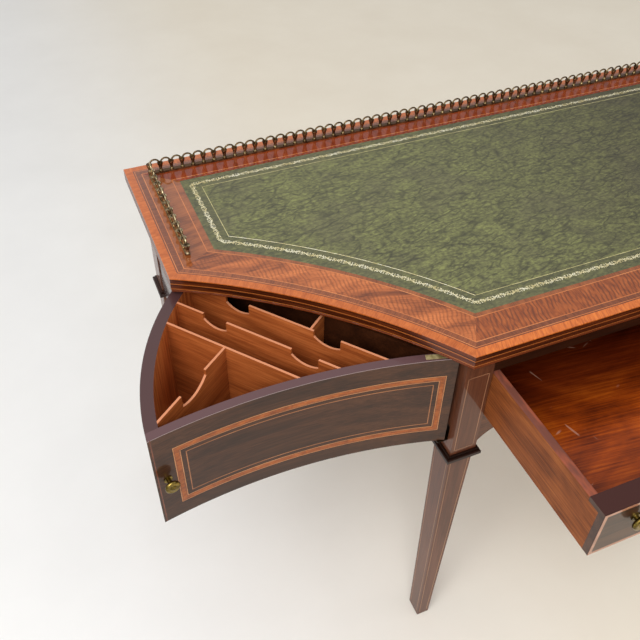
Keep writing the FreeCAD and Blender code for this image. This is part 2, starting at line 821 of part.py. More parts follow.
def make_compartment():
    floor = interior(compartment_bottom + floor_lift, divider_low)
    knob = make_knob(1, knob_neck_length)
    knob.rotate(origin, y_axis, -90)
    end_angle = 2 * math.asin(swing_radius / (2 * pivot_radius))
    knob_place = end_angle * board_outer_radius - knob_end_inset
    knob_angle = pivot_angle + knob_place / board_outer_radius
    knob.rotate(origin, z_axis, math.degrees(knob_angle))
    knob_seat_radius = math.sqrt(board_outer_radius ** 2 - knob_base_radius ** 2)
    knob_point = along_board(knob_place, knob_seat_radius)
    knob_height = (compartment_top + compartment_bottom) / 2
    knob.translate(knob_point + z_axis * knob_height)
    return {
        "front_board": make_board(),
        "arc_wall": make_arc_wall(),
        "inner_wall": make_inner_wall(),
        "floor": floor,
        "outer_divider": long_divider(outer_divider_place, []),
        "middle_divider": long_divider(middle_divider_place, middle_notches),
        "inner_divider": long_divider(inner_divider_place, inner_notches),
        "front_cross_divider": cross_divider(
            inner_corner_place() + front_cross_corner_offset, swing_radius,
            outer_divider_place + half_divider, [cross_notch_shares]),
        "rear_cross_divider": cross_divider(
            rear_cross_share * arc_inner_radius, inner_divider_place - half_divider,
            inner_wall_face, []),
        "hinge_leaves": make_leaves(),
        "knob": knob,
    }


for name, shape in make_compartment().items():
    save("left_" + name, turned(shape, open_angle))
    save("right_" + name, mirrored(shape))


# Pivot fittings that stay with the table

plate = block(pivot_x - plate_width / 2, pivot_x + plate_width / 2,
              pivot_y - plate_end, pivot_y - plate_end + plate_length,
              under_top - plate_thickness, under_top)
upper_pin = round_bar(pivot, pin_radius, compartment_top - pin_depth, under_top - plate_thickness)
pivot_plate = plate.fuse(upper_pin)
bracket_half = bracket_width / 2
bracket = block(pivot_x - bracket_half, front_leg_left + plate_thickness,
                pivot_y - bracket_half, pivot_y + bracket_half, bracket_bottom, bracket_top)
lower_pin = round_bar(pivot, pin_radius, bracket_top, compartment_bottom + pin_depth)
pivot_bracket = leaf_mortise.fuse([bracket, lower_pin]).removeSplitter()
save("left_pivot_plate", pivot_plate)
save("right_pivot_plate", mirrored(pivot_plate))
save("left_pivot_bracket", pivot_bracket)
save("right_pivot_bracket", mirrored(pivot_bracket))
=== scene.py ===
# %% [markdown]
# A writing table with two concave front corners. Each corner holds a quadrant compartment
# that swings out on a brass pivot, and a drawer slides over the kneehole. The solid parts
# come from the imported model. This lesson dresses them: veneers, inlaid strings, tooled
# leather, brass and polish, then a plain studio round them.

# %% Load the fixed model
import math

import bmesh
import bpy
from mathutils import Matrix, Vector


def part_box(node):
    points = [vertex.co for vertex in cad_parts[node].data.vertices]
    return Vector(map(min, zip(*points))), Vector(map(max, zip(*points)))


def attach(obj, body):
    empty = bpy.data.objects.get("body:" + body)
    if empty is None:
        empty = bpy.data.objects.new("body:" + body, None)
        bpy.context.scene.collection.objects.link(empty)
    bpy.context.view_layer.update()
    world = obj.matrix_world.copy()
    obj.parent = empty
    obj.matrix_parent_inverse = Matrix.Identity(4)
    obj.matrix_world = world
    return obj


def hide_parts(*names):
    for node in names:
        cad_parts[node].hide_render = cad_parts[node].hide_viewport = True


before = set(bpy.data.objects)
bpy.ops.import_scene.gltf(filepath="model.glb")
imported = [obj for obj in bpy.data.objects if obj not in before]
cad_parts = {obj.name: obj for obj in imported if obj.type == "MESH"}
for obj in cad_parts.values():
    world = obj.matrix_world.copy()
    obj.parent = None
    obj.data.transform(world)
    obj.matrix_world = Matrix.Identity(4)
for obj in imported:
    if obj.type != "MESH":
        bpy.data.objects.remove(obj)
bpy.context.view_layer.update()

# %% [markdown]
# Lengths are metres. The few that the inlays follow are written down once: the outline of
# the top, the centre of its concave corner, the pivot, and the angle at which the left
# compartment stands open. Heights are measured from the leather's upper face.

# %% Sizes that the inlays follow
mm = 0.001
half_width = 610 * mm
half_depth = 305 * mm
side_edge_length = 309 * mm
corner_width = 329 * mm
concave_radius = 885 * mm
veneer_top = 0.2 * mm
veneer_thickness = 1.5 * mm
under_top = -25.8 * mm
floor_level = -761.8 * mm
open_angle = math.radians(38.7)
board_face_radius = 898 * mm
pivot = Vector((-285.1 * mm, -264.1796 * mm, 0))

side_corner = Vector((-half_width, half_depth - side_edge_length, 0))
front_corner = Vector((corner_width - half_width, -half_depth, 0))
corner_chord = front_corner - side_corner
chord_normal = Vector((corner_chord.y, -corner_chord.x, 0)).normalized()
chord_rise = math.sqrt(concave_radius ** 2 - (corner_chord.length / 2) ** 2)
concave_centre = (front_corner + side_corner) / 2 + chord_normal * chord_rise
print("centre of the left concave corner", tuple(round(v, 4) for v in concave_centre))

# %% [markdown]
# Colours are written as they look on a screen, because that is how they are read off a
# picture. Blender reckons in linear light, so each is changed to that.

# %% Colours
def screen(red, green, blue):
    """A colour as it looks on a screen, 0 to 255, as linear light."""
    def linear(value):
        share = value / 255
        if share <= 0.04045:
            return share / 12.92
        return ((share + 0.055) / 1.055) ** 2.4
    return (linear(red), linear(green), linear(blue), 1.0)


# %% [markdown]
# A material is built node by node. Writing out every node and link makes long scripts, so
# this small class keeps one tree of nodes, adds a node in one call and connects whatever
# it is given: a plain value goes into the socket, an output is linked to it.

# %% A small helper for building node trees
class NodeTree:
    """The nodes of a material or a world, added one after another."""

    def __init__(self, owner):
        owner.use_nodes = True
        self.tree = owner.node_tree

    def feed(self, socket, value):
        if isinstance(value, bpy.types.NodeSocket):
            self.tree.links.new(value, socket)
        else:
            socket.default_value = value

    def add(self, kind, settings=(), **sockets):
        """Adds a node and feeds its sockets, named with _ where the name has a space."""
        node = self.tree.nodes.new(kind)
        for name, value in dict(settings).items():
            setattr(node, name, value)
        for name, value in sockets.items():
            self.feed(node.inputs[name.replace("_", " ")], value)
        return node

    def calculate(self, operation, first, second=0.0):
        node = self.add("ShaderNodeMath", {"operation": operation})
        self.feed(node.inputs[0], first)
        self.feed(node.inputs[1], second)
        return node.outputs[0]

    def weigh(self, first, share, second):
        """A sum of two values, the first weighed by its share and the second by the rest."""
        return self.calculate("ADD", self.calculate("MULTIPLY", first, share),
                              self.calculate("MULTIPLY", second, 1 - share))

    def between(self, value, low, high):
        """0 below low, 1 above high, and smooth between."""
        return self.add("ShaderNodeMapRange", {"interpolation_type": "SMOOTHSTEP"}, Value=value,
                        From_Min=low, From_Max=high).outputs[0]


# %% [markdown]
# A finish adds what a material needs: coordinates, noise, colours and relief. The coat of
# its shader is the polish. It remembers the colour that it was painted with, so that more
# can be laid over it, a worn edge for example.

# %% Finishes
class Finish(NodeTree):
    """A material: a shader and the nodes that feed it."""

    def __init__(self, name, roughness, polish=0.0, polish_roughness=0.08, metallic=0.0,
                 specular=0.5):
        self.material = bpy.data.materials.new(name)
        super().__init__(self.material)
        self.shader = self.tree.nodes["Principled BSDF"]
        self.colour = None
        for socket, value in (("Roughness", roughness), ("Metallic", metallic),
                              ("Coat Weight", polish), ("Coat Roughness", polish_roughness),
                              ("Specular IOR Level", specular)):
            self.feed(self.shader.inputs[socket], value)
        print("finish", name)

    def place(self, stretch=(1, 1, 1), turn=0.0, shift=(0, 0, 0), uv=None):
        """Coordinates of the piece, or of one of its UV maps, shifted, turned and stretched."""
        if uv:
            source = self.add("ShaderNodeUVMap", {"uv_map": uv}).outputs["UV"]
        else:
            source = self.add("ShaderNodeTexCoord").outputs["Object"]
        turned = self.add("ShaderNodeMapping", Vector=source, Location=shift,
                          Rotation=(0, 0, turn)).outputs["Vector"]
        return self.add("ShaderNodeMapping", Vector=turned, Scale=stretch).outputs["Vector"]

    def coordinate(self, axis):
        return self.add("ShaderNodeSeparateXYZ", Vector=self.place()).outputs[axis]

    def noise(self, vector, scale, detail=2.0, roughness=0.5, distortion=0.0):
        return self.add("ShaderNodeTexNoise", Vector=vector, Scale=scale, Detail=detail,
                        Roughness=roughness, Distortion=distortion).outputs[0]

    def ramp(self, factor, places, *tones):
        """Passes from tone to tone, given as they look on a screen, by way of the places."""
        node = self.add("ShaderNodeValToRGB", Fac=factor)
        elements = node.color_ramp.elements
        while len(elements) < len(tones):
            elements.new(0.5)
        for element, place, tone in zip(elements, places, tones):
            element.position = place
            element.color = screen(*tone)
        return node.outputs["Color"]

    def mix(self, factor, first, second, mode="MIX"):
        node = self.add("ShaderNodeMix", {"data_type": "RGBA", "blend_type": mode})
        self.feed(node.inputs["Factor"], factor)
        self.feed(node.inputs[6], first)
        self.feed(node.inputs[7], second)
        return node.outputs[2]

    def bump(self, height, strength, distance):
        return self.add("ShaderNodeBump", Height=height, Strength=strength,
                        Distance=distance).outputs["Normal"]

    def paint(self, colour):
        self.colour = colour
        self.feed(self.shader.inputs["Base Color"], colour)
        return self

    def lay_over(self, share, colour, mode="MIX"):
        """Lays a share of another colour over the one that was painted."""
        return self.paint(self.mix(share, self.colour, colour, mode))

    def relief(self, normal):
        self.feed(self.shader.inputs["Normal"], normal)
        return self


# %% [markdown]
# Wood shows three things at three sizes: a broad figure of light and dark, fine grain
# lines, and short dark pores. All three are noise, stretched along the grain. The grain
# runs along the axes that are named: 0, 1 or 2 for X, Y or Z, or 0 and 1 together where it
# is level on a bent piece. On a veneer band with its own UV map 0 runs along the band and
# 1 across it, so the same helper makes boards and cross-grained bands. Noise seldom leaves
# the range from 0.36 to 0.64, so the three colours of a wood are spread over that.

# %% Wood
wood_places = (0.36, 0.5, 0.64)
grain_stretch = 0.03
pore_stretch = 0.06
pores_per_grain = 3


def wood(name, tones, grain_axes, uv=None, turn=0.0, figure_scale=26, figure_stretch=0.16,
         wave=0.5, figure_share=0.6, grain_scale=430, pores=0.35, roughness=0.45, polish=1.0,
         polish_roughness=0.07, relief=0.0):
    """A wood in three tones, from dark to light."""
    finish = Finish(name, roughness, polish, polish_roughness, specular=0.1)

    def along_grain(share):
        stretch = tuple(share if axis in grain_axes else 1 for axis in range(3))
        return finish.place(stretch, turn, uv=uv)

    figure = finish.noise(along_grain(figure_stretch), figure_scale, detail=4, roughness=0.55,
                          distortion=wave)
    grain = finish.noise(along_grain(grain_stretch), grain_scale, detail=3, roughness=0.6)
    pore = finish.noise(along_grain(pore_stretch), grain_scale * pores_per_grain, detail=1)
    finish.paint(finish.ramp(finish.weigh(figure, figure_share, grain), wood_places, *tones))
    dark_pore = finish.calculate("MULTIPLY", finish.between(pore, 0.58, 0.72), pores)
    finish.lay_over(dark_pore, screen(*tones[0]))
    if relief:
        finish.relief(finish.bump(grain, relief, 0.2 * mm))
    return finish


# %% [markdown]
# The top is laid with several woods. The edge has a crossband of satinwood. Inside it run
# a dark band and a wide border of mahogany, all cross-grained. Every band has a UV map
# that follows it, so its grain turns at each mitre as the real veneer does. Each side of
# the border was cut from another leaf: plain on the sides, red at the back, a slanting
# flame on the concave corners and a strong ripple in front.

# %% Finishes of the veneered top
along_band = (0,)
across_band = (1,)


def veneer(name, tones, **look):
    return wood(name, tones, across_band, "band", **look)


def string_wood(name, tones, pores=0.1, **look):
    return wood(name, tones, along_band, "band", figure_scale=60, pores=pores, **look)


satinwood = veneer("satinwood", ((160, 78, 27), (182, 94, 37), (200, 109, 48)),
                   figure_scale=190, figure_stretch=0.3, wave=0.6, grain_scale=800, pores=0.3,
                   polish=0.8)
bright_satinwood = veneer("bright_satinwood", ((158, 74, 22), (198, 102, 36), (220, 122, 48)),
                          turn=0.3, figure_scale=230, figure_stretch=0.2, grain_scale=800,
                          pores=0.2)
border_wood = veneer("border_mahogany", ((108, 54, 24), (140, 76, 37), (160, 91, 47)),
                     turn=0.12, figure_scale=60, figure_stretch=0.35, wave=0.8,
                     grain_scale=700, pores=0.2)
red_border_wood = veneer("red_border_mahogany", ((96, 32, 8), (124, 46, 14), (146, 62, 22)),
                         figure_scale=60, figure_stretch=0.3, grain_scale=700, polish=0.65)
flame_wood = veneer("flame_mahogany", ((92, 42, 17), (170, 92, 45), (203, 116, 61)),
                    turn=-0.95, figure_scale=34, figure_stretch=0.28, wave=0.9,
                    figure_share=0.78, grain_scale=560, polish=0.9)
band_look = {"figure_scale": 160, "figure_stretch": 0.3, "wave": 0.4, "figure_share": 0.35,
             "grain_scale": 800}
dark_band_wood = veneer("dark_band_mahogany", ((94, 45, 20), (116, 59, 29), (134, 72, 37)),
                        **band_look)
corner_band_wood = veneer("corner_band_mahogany", ((106, 52, 23), (130, 68, 33), (150, 82, 42)),
                          **band_look)
boxwood = string_wood("boxwood", ((176, 96, 46), (198, 116, 60), (212, 134, 78)), pores=0.15)
brown_string = string_wood("brown_string", ((84, 38, 18), (106, 50, 24), (124, 62, 32)))

# %% [markdown]
# Ripple is a curl of the fibres across the log. It shows as dark wavy lines a few
# millimetres apart, so a band wave, bent by its own noise, darkens the plain wood. It is
# strong on the front border and only a trace on the flame of the concave corners.

# %% Rippled borders
def add_ripple(finish, turn, scale, bend, depth):
    """Darkens the wood along wavy lines that come and go in patches."""
    lines = finish.add("ShaderNodeTexWave", {"bands_direction": "X"},
                       Vector=finish.place(uv="band", turn=turn), Scale=scale,
                       Distortion=bend, Detail=2.0, Detail_Scale=0.9).outputs["Fac"]
    patch = finish.between(finish.noise(finish.place(uv="band"), 40), 0.3, 0.52)
    share = finish.calculate("MULTIPLY", finish.between(lines, 0.45, 0.85), patch)
    finish.lay_over(finish.calculate("MULTIPLY", share, depth), screen(92, 42, 18))


ripple_wood = veneer("ripple_mahogany", ((116, 52, 16), (148, 73, 26), (172, 91, 38)),
                     figure_scale=110, figure_stretch=0.4, wave=0.8, grain_scale=700)
add_ripple(ripple_wood, turn=0.25, scale=50.0, bend=4.5, depth=0.68)
add_ripple(flame_wood, turn=0.65, scale=56.0, bend=5.0, depth=0.42)

# %% [markdown]
# The other woods are solid boards, so their finishes read the object's own coordinates.
# Outside surfaces are French polished, which the coat of the shader gives. The interior
# of the compartments is only waxed.

# %% Finishes of the boards
along_x = (0,)
along_y = (1,)
upright = (2,)
level_grain = (0, 1)
leg_wood = wood("leg_mahogany", ((74, 41, 26), (90, 51, 33), (104, 61, 40)), upright,
                figure_scale=34, polish=0.6)
frieze_wood = wood("frieze_mahogany", ((56, 26, 10), (84, 42, 18), (108, 58, 28)), along_x,
                   figure_scale=30, polish=0.6)
board_tones = ((44, 25, 14), (62, 36, 20), (80, 48, 27))
# The inner walls and the drawer's top rail get a darkened mahogany, a painted shade where the
# top shades them.
shaded_wall_wood = wood("shaded_inner_wall_mahogany", ((34, 15, 7), (50, 24, 11), (66, 34, 17)), along_x,
                 figure_scale=30, polish=0.1)
rail_wood = wood("side_rail_mahogany", ((34, 18, 14), (54, 28, 22), (72, 38, 28)), level_grain,
                 figure_scale=30, polish=0.6)
cedar_tones = ((156, 82, 38), (190, 108, 55), (208, 126, 69))
cedar = wood("cedar", cedar_tones, along_x, figure_scale=22, figure_stretch=0.1,
             roughness=0.55, polish=0.1, polish_roughness=0.35, relief=0.2)
plain_wood = wood("secondary_wood", ((110, 74, 42), (134, 94, 56), (152, 112, 70)), along_y,
                  figure_scale=22, roughness=0.7, polish=0.0)
moulding_wood = wood("moulding", ((22, 10, 6), (34, 16, 10), (50, 24, 15)), along_x,
                     figure_scale=40, polish=0.35, polish_roughness=0.2)

# %% [markdown]
# The upper edges of the thin dividers are painted paler, a painted highlight where the light
# falls on them. The finish picks them by the surface's direction: where it looks up, the
# colour turns to the pale one.

# %% Dividers with a painted highlight on their upper edges
def facing_up(finish):
    normal = finish.add("ShaderNodeNewGeometry").outputs["True Normal"]
    height = finish.add("ShaderNodeSeparateXYZ", Vector=normal).outputs["Z"]
    return finish.between(height, 0.3, 0.6)


divider_wood = wood("divider_cedar", ((132, 64, 28), (166, 88, 42), (190, 108, 56)), level_grain,
                    figure_scale=90, figure_stretch=0.08, figure_share=0.5, roughness=0.5,
                    polish=0.15, polish_roughness=0.3, relief=0.2)
# painted highlight on the upper edges of the dividers
divider_wood.lay_over(facing_up(divider_wood), screen(202, 134, 98))

# %% [markdown]
# The drawer's sides are waxed mahogany with a lively figure. Their upper edges get a painted
# sheen, mauve and paler in patches, and the same test of direction finds them.

# %% Drawer sides
side_wood = wood("drawer_side_mahogany", ((90, 44, 18), (130, 70, 31), (156, 90, 42)), along_y,
                 figure_scale=20, figure_stretch=0.3, wave=1.4, figure_share=0.52,
                 roughness=0.5, polish=0.1, polish_roughness=0.3, relief=0.15)
# painted sheen on the upper edges of the sides, mauve and paler in patches
edge_sheen_patches = side_wood.noise(side_wood.place((1, 0.3, 1)), 60, detail=3, roughness=0.6)
painted_edge_sheen = side_wood.mix(side_wood.between(edge_sheen_patches, 0.4, 0.62), screen(108, 64, 53),
                          screen(146, 78, 56))
side_wood.lay_over(facing_up(side_wood), painted_edge_sheen)

# %% [markdown]
# The drawer's bottom is a red board. It is painted lighter near the drawer's front and darker
# deep inside, a painted shade where the top shades it, so its finish asks how deep in the
# drawer a point lies. What was kept there has scratched it: the scratches are noise stretched
# in three directions, shown only where it peaks and only in a few patches.

# %% Drawer bottom
red_wood = wood("drawer_red_mahogany", ((68, 15, 2), (112, 34, 4), (150, 57, 13)), along_x,
                turn=0.1, figure_scale=5.0, figure_stretch=0.6, wave=2.0, figure_share=0.62,
                roughness=0.42, polish=0.35, polish_roughness=0.2)
# painted light near the drawer's front and painted shade deep inside, under the top
shaded_depth = red_wood.between(red_wood.coordinate("Y"), -405 * mm, -270 * mm)
lit_front_tint = (1.9, 3.0, 1.2, 1)
shaded_inside_tint = (0.42, 0.45, 0.5, 1)
red_wood.lay_over(1.0, red_wood.mix(shaded_depth, lit_front_tint, shaded_inside_tint), "MULTIPLY")


def scratches(finish, turn, scale):
    streak = finish.noise(finish.place((0.12, 1, 1), turn), scale, detail=1, roughness=0.4)
    patch = finish.noise(finish.place(shift=(turn, 0, 0)), 22, detail=1, roughness=0.4)
    return finish.calculate("MULTIPLY", finish.between(streak, 0.72, 0.76),
                            finish.between(patch, 0.56, 0.62))


scratched = scratches(red_wood, turn=0.5, scale=150)
for scratch_turn, scratch_scale in ((-0.35, 120), (1.3, 130)):
    scratched = red_wood.calculate("MAXIMUM", scratched,
                                   scratches(red_wood, scratch_turn, scratch_scale))
red_wood.lay_over(red_wood.calculate("MULTIPLY", scratched, 0.42), screen(190, 150, 130))

# %% [markdown]
# The boards of the compartments and the drawer's front are nearly black mahogany. Their
# polished upper edges are painted plum, a painted sheen that the test of direction gives,
# and a thin light line along the arris of a compartment's board is a painted highlight.

# %% Front boards
def level_line(finish, low, high):
    """1 where the surface is between two heights."""
    height = finish.coordinate("Z")
    return finish.calculate("MULTIPLY", finish.calculate("GREATER_THAN", height, low),
                            finish.calculate("LESS_THAN", height, high))


board_wood = wood("board_mahogany", board_tones, along_x, figure_scale=36, figure_stretch=0.1,
                  wave=0.8, polish=0.47)
# painted highlight along the upper arris of the board
board_wood.lay_over(level_line(board_wood, -35.0 * mm, -34.0 * mm), screen(150, 132, 132))
# painted sheen on the upper edges of the boards, plum
board_wood.lay_over(facing_up(board_wood), screen(92, 66, 68))
front_wood = wood("drawer_front_mahogany", board_tones, along_x, figure_scale=36,
                  figure_stretch=0.1, wave=0.8, polish=0.55)
# painted sheen on the upper edge of the drawer front
front_wood.lay_over(facing_up(front_wood), screen(58, 24, 18))

# %% [markdown]
# A curved wall is one bent board, dark outside and cedar inside. Both faces belong to one
# solid, so its finish measures how far a point is from the pivot, which is the middle of
# the curve: the face at the inner radius gets cedar.

# %% Curved walls of the compartments
arc_inner_radius = 404.6 * mm


def curved_wall_wood(name, middle):
    finish = wood(name, board_tones, level_grain, figure_scale=36, wave=0.8, polish=0.6)
    away = finish.add("ShaderNodeVectorMath", {"operation": "SUBTRACT"})
    finish.feed(away.inputs[0], finish.place(stretch=(1, 1, 0)))
    finish.feed(away.inputs[1], middle)
    reach = finish.add("ShaderNodeVectorMath", {"operation": "LENGTH"})
    finish.feed(reach.inputs[0], away.outputs[0])
    outside = finish.between(reach.outputs["Value"], arc_inner_radius,
                             arc_inner_radius + 0.5 * mm)
    grain = finish.noise(finish.place((1, 1, 0.05)), 160, detail=3, roughness=0.6)
    cedar_face = finish.ramp(grain, wood_places, *cedar_tones)
    finish.paint(finish.mix(outside, cedar_face, finish.colour))
    # painted sheen on the upper edge of the curved wall, plum
    return finish.lay_over(facing_up(finish), screen(72, 46, 46))


arc_wall_finishes = {
    "left": curved_wall_wood("left_arc_wall", (pivot.x, pivot.y, 0)),
    "right": curved_wall_wood("right_arc_wall", (-pivot.x, pivot.y, 0)),
}

# %% [markdown]
# The edge of the top is a flat fascia with two light lines let into it, then a quirk painted
# dark, a painted shade in the groove, and a rounded bead painted orange-brown, a painted
# highlight. The lines are level, so the finish paints them by height.

# %% Edge of the top
quirk_bottom = -20.9 * mm
quirk_top = -19.3 * mm
edge_wood = wood("top_edge", ((38, 12, 3), (68, 26, 7), (104, 46, 16)), level_grain,
                 figure_scale=150, figure_stretch=0.06, grain_scale=600, polish_roughness=0.16)
bead = level_line(edge_wood, under_top - 1 * mm, quirk_bottom)
quirk = level_line(edge_wood, quirk_bottom, quirk_top)
lower_line = level_line(edge_wood, quirk_top, -18.0 * mm)
upper_line = level_line(edge_wood, -10.2 * mm, -8.8 * mm)
edge_polish = edge_wood.calculate("SUBTRACT", 0.4, edge_wood.calculate("MULTIPLY", bead, 0.33))
edge_wood.feed(edge_wood.shader.inputs["Coat Weight"], edge_polish)
edge_wood.lay_over(edge_wood.calculate("ADD", upper_line, lower_line), screen(164, 92, 40))
# painted shade in the quirk
edge_wood.lay_over(quirk, screen(26, 12, 8))
# painted highlight on the bead, orange-brown
edge_wood.lay_over(bead, screen(104, 46, 18))

# %% [markdown]
# The leather is hide, dyed green, and its creases are painted darker. Creases are the borders
# of long uneven cells, so a cell pattern is stretched, bent by noise and broken up.

# %% Creases of the leather
crease_turn = math.radians(-10)
crease_stretch = (0.24, 1, 1)


def creases(finish, scale, width, bend):
    """1 in the middle of a crease, 0 away from it."""
    drift = finish.add("ShaderNodeTexNoise", Vector=finish.place(), Scale=scale * 0.3,
                       Detail=2.0)
    pushed = finish.add("ShaderNodeVectorMath", {"operation": "MULTIPLY_ADD"})
    finish.feed(pushed.inputs[0], drift.outputs["Color"])
    finish.feed(pushed.inputs[1], (bend, bend, 0.0))
    finish.feed(pushed.inputs[2], finish.place(turn=crease_turn))
    flow = finish.add("ShaderNodeMapping", Vector=pushed.outputs[0],
                      Scale=crease_stretch).outputs["Vector"]
    cells = finish.add("ShaderNodeTexVoronoi", {"feature": "DISTANCE_TO_EDGE"}, Vector=flow,
                       Scale=float(scale)).outputs["Distance"]
    line = finish.calculate("SUBTRACT", 1.0, finish.between(cells, 0.0, width))
    broken = finish.between(finish.noise(flow, scale * 0.7), 0.3, 0.56)
    return finish.calculate("MULTIPLY", line, broken)


# %% [markdown]
# Between the creases finer noise gives the mottling, and a small cell pattern the pores,
# which only show as relief. Broad patches are browner, where the dye has worn, and the right
# half is darker, a painted shade where less light falls. The margin outside the gilt line
# gets its own tones.

# %% Leather
worn_leather = screen(98, 94, 72)
painted_shade_right = (0.58, 0.54, 0.55, 1)


def leather(name, tones, crease_tone, crease_share):
    finish = Finish(name, roughness=0.5, polish=0.12, polish_roughness=0.35, specular=0.3)
    deep = creases(finish, scale=92, width=0.12, bend=0.02)
    fine = finish.calculate("MULTIPLY", creases(finish, scale=200, width=0.2, bend=0.01), 0.5)
    darkened_creases = finish.calculate("MULTIPLY", finish.calculate("MAXIMUM", deep, fine), crease_share)
    mottle = finish.noise(finish.place((0.7, 1, 1)), 190, detail=3, roughness=0.6,
                          distortion=0.3)
    cloud = finish.noise(finish.place((0.6, 1, 1)), 38, detail=3, roughness=0.55)
    finish.paint(finish.ramp(finish.weigh(mottle, 0.68, cloud), (0.38, 0.5, 0.62), *tones))
    patch = finish.between(finish.noise(finish.place(), 7, detail=3, roughness=0.6), 0.46, 0.66)
    finish.lay_over(finish.calculate("MULTIPLY", patch, 0.45), worn_leather)
    # the creases are painted darker
    finish.lay_over(darkened_creases, screen(*crease_tone))
    shaded_right_half = finish.between(finish.coordinate("X"), -0.2, 0.45)
    # painted shade over the right half of the leather
    finish.lay_over(shaded_right_half, painted_shade_right, "MULTIPLY")
    pebble = finish.add("ShaderNodeTexVoronoi", Vector=finish.place(), Scale=700.0).outputs[0]
    height = finish.calculate("SUBTRACT", finish.calculate("MULTIPLY", mottle, 0.6), darkened_creases)
    height = finish.calculate("ADD", height, finish.calculate("MULTIPLY", pebble, 0.25))
    return finish.relief(finish.bump(height, 0.3, 0.5 * mm))


field_leather = leather("green_leather", ((80, 80, 56), (107, 108, 70), (129, 132, 81)),
                        crease_tone=(54, 53, 43), crease_share=0.68)
margin_leather = leather("leather_margin", ((76, 77, 54), (96, 96, 65), (114, 114, 74)),
                         crease_tone=(60, 61, 50), crease_share=0.5)

# %% [markdown]
# Old brass is dark in its hollows and bright where it is touched. Noise shifts the colour
# and the roughness together, so the bright parts also shine more. The rear gallery is painted
# darker where it looks up, a painted dark reflection. Gold leaf on leather doesn't mirror: it
# is a pale yellow that wears off in specks, so it is made without metal.

# %% Brass and gilding
def brass(name, dark, bright, patina_scale, rough_low, rough_high):
    finish = Finish(name, roughness=0.3, metallic=1.0)
    patina = finish.noise(finish.place(), patina_scale, detail=4, roughness=0.6)
    finish.paint(finish.ramp(patina, (0.38, 0.62), dark, bright))
    shine = finish.add("ShaderNodeMapRange", Value=patina, To_Min=rough_high, To_Max=rough_low)
    finish.feed(finish.shader.inputs["Roughness"], shine.outputs[0])
    return finish


gallery_brass = brass("gallery_brass", (96, 84, 58), (172, 156, 114), 90, 0.2, 0.34)
# painted dark reflection on the rear gallery's upward faces
gallery_brass.lay_over(facing_up(gallery_brass), screen(84, 60, 38))
side_gallery_brass = brass("side_gallery_brass", (78, 64, 44), (190, 172, 136), 160, 0.26, 0.42)
knob_brass = brass("knob_brass", (84, 70, 32), (146, 124, 62), 110, 0.16, 0.34)
dark_bronze = brass("dark_bronze", (44, 32, 20), (70, 54, 34), 120, 0.35, 0.5)
fitting_brass = brass("fitting_brass", (150, 132, 84), (206, 190, 140), 120, 0.35, 0.5)
fitting_brass.feed(fitting_brass.shader.inputs["Metallic"], 0.4)


def gilt(name, *tones):
    finish = Finish(name, roughness=0.4, specular=0.6)
    speck = finish.noise(finish.place(), 700, roughness=0.6)
    patch = finish.noise(finish.place(), 45, roughness=0.6)
    return finish.paint(finish.ramp(finish.weigh(speck, 0.5, patch), (0.38, 0.48, 0.58), *tones))


gilding = gilt("gilding", (200, 178, 116), (240, 226, 174), (255, 251, 228))
dull_gilding = gilt("dull_gilding", (150, 140, 88), (180, 170, 112), (214, 204, 150))
print("finishes made:", len(bpy.data.materials))

# %% [markdown]
# The solids of the model keep their shapes. Each gets its finish in its own material slot.

# %% Dress the solids of the model
def dress(finish, *nodes):
    for node in nodes:
        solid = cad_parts[node]
        solid.data.materials.clear()
        solid.data.materials.append(finish.material)
    print(finish.material.name, "on", ", ".join(nodes))


dress(edge_wood, "table_top")
dress(field_leather, "leather_panel")
dress(gallery_brass, "gallery_rear")
dress(side_gallery_brass, "gallery_left", "gallery_right")
dress(leg_wood, "leg_front_left", "leg_front_right", "leg_rear_left", "leg_rear_right")
dress(moulding_wood, "leg_collars")
dress(frieze_wood, "rear_rail", "drawer_bottom_rail", "knee_arch")
dress(shaded_wall_wood, "drawer_top_rail")
dress(rail_wood, "side_rail_left", "side_rail_right")
dress(side_wood, "partition_left", "partition_right")
dress(plain_wood, "drawer_runners", "drawer_kickers", "drawer_stops", "bay_stops",
      "top_fixing_blocks")
dress(fitting_brass, "left_pivot_plate", "right_pivot_plate", "left_hinge_leaves",
      "right_hinge_leaves")
dress(dark_bronze, "left_pivot_bracket", "right_pivot_bracket")
dress(knob_brass, "left_knob", "right_knob", "drawer_knobs")
dress(front_wood, "drawer_front")
dress(board_wood, "left_front_board", "right_front_board")
dress(arc_wall_finishes["left"], "left_arc_wall")
dress(arc_wall_finishes["right"], "right_arc_wall")
dress(side_wood, "drawer_side_left", "drawer_side_right", "drawer_back")
dress(red_wood, "drawer_bottom")
for side in ("left", "right"):
    dress(cedar, side + "_floor")
    dress(shaded_wall_wood, side + "_inner_wall")
    dress(divider_wood, side + "_outer_divider", side + "_middle_divider",
          side + "_inner_divider", side + "_front_cross_divider", side + "_rear_cross_divider")

# %% [markdown]
# A new piece starts as a bmesh and ends as an object that rides on a body of the model, with
# its finish in a material slot. Thin flat pieces are given a thickness by extruding their
# faces, and then the normals are made to point outwards. The UV map that the finishes read
# is called band.

# %% Helpers for new pieces
def thicken(bm, depth):
    """Extrudes every face by the vector and closes the piece."""
    made = bmesh.ops.extrude_face_region(bm, geom=bm.faces[:])
    moved = [item for item in made["geom"] if isinstance(item, bmesh.types.BMVert)]
    bmesh.ops.translate(bm, verts=moved, vec=depth)
    bmesh.ops.recalc_face_normals(bm, faces=bm.faces[:])


def map_band(bm, place):
    """Gives every corner the UV coordinates that place(face, spot) returns."""
    uv = bm.loops.layers.uv.new("band")
    for face in bm.faces:
        for loop in face.loops:
            loop[uv].uv = place(face, loop.vert.co)


def as_it_lies(_, spot):
    return spot.x, spot.y


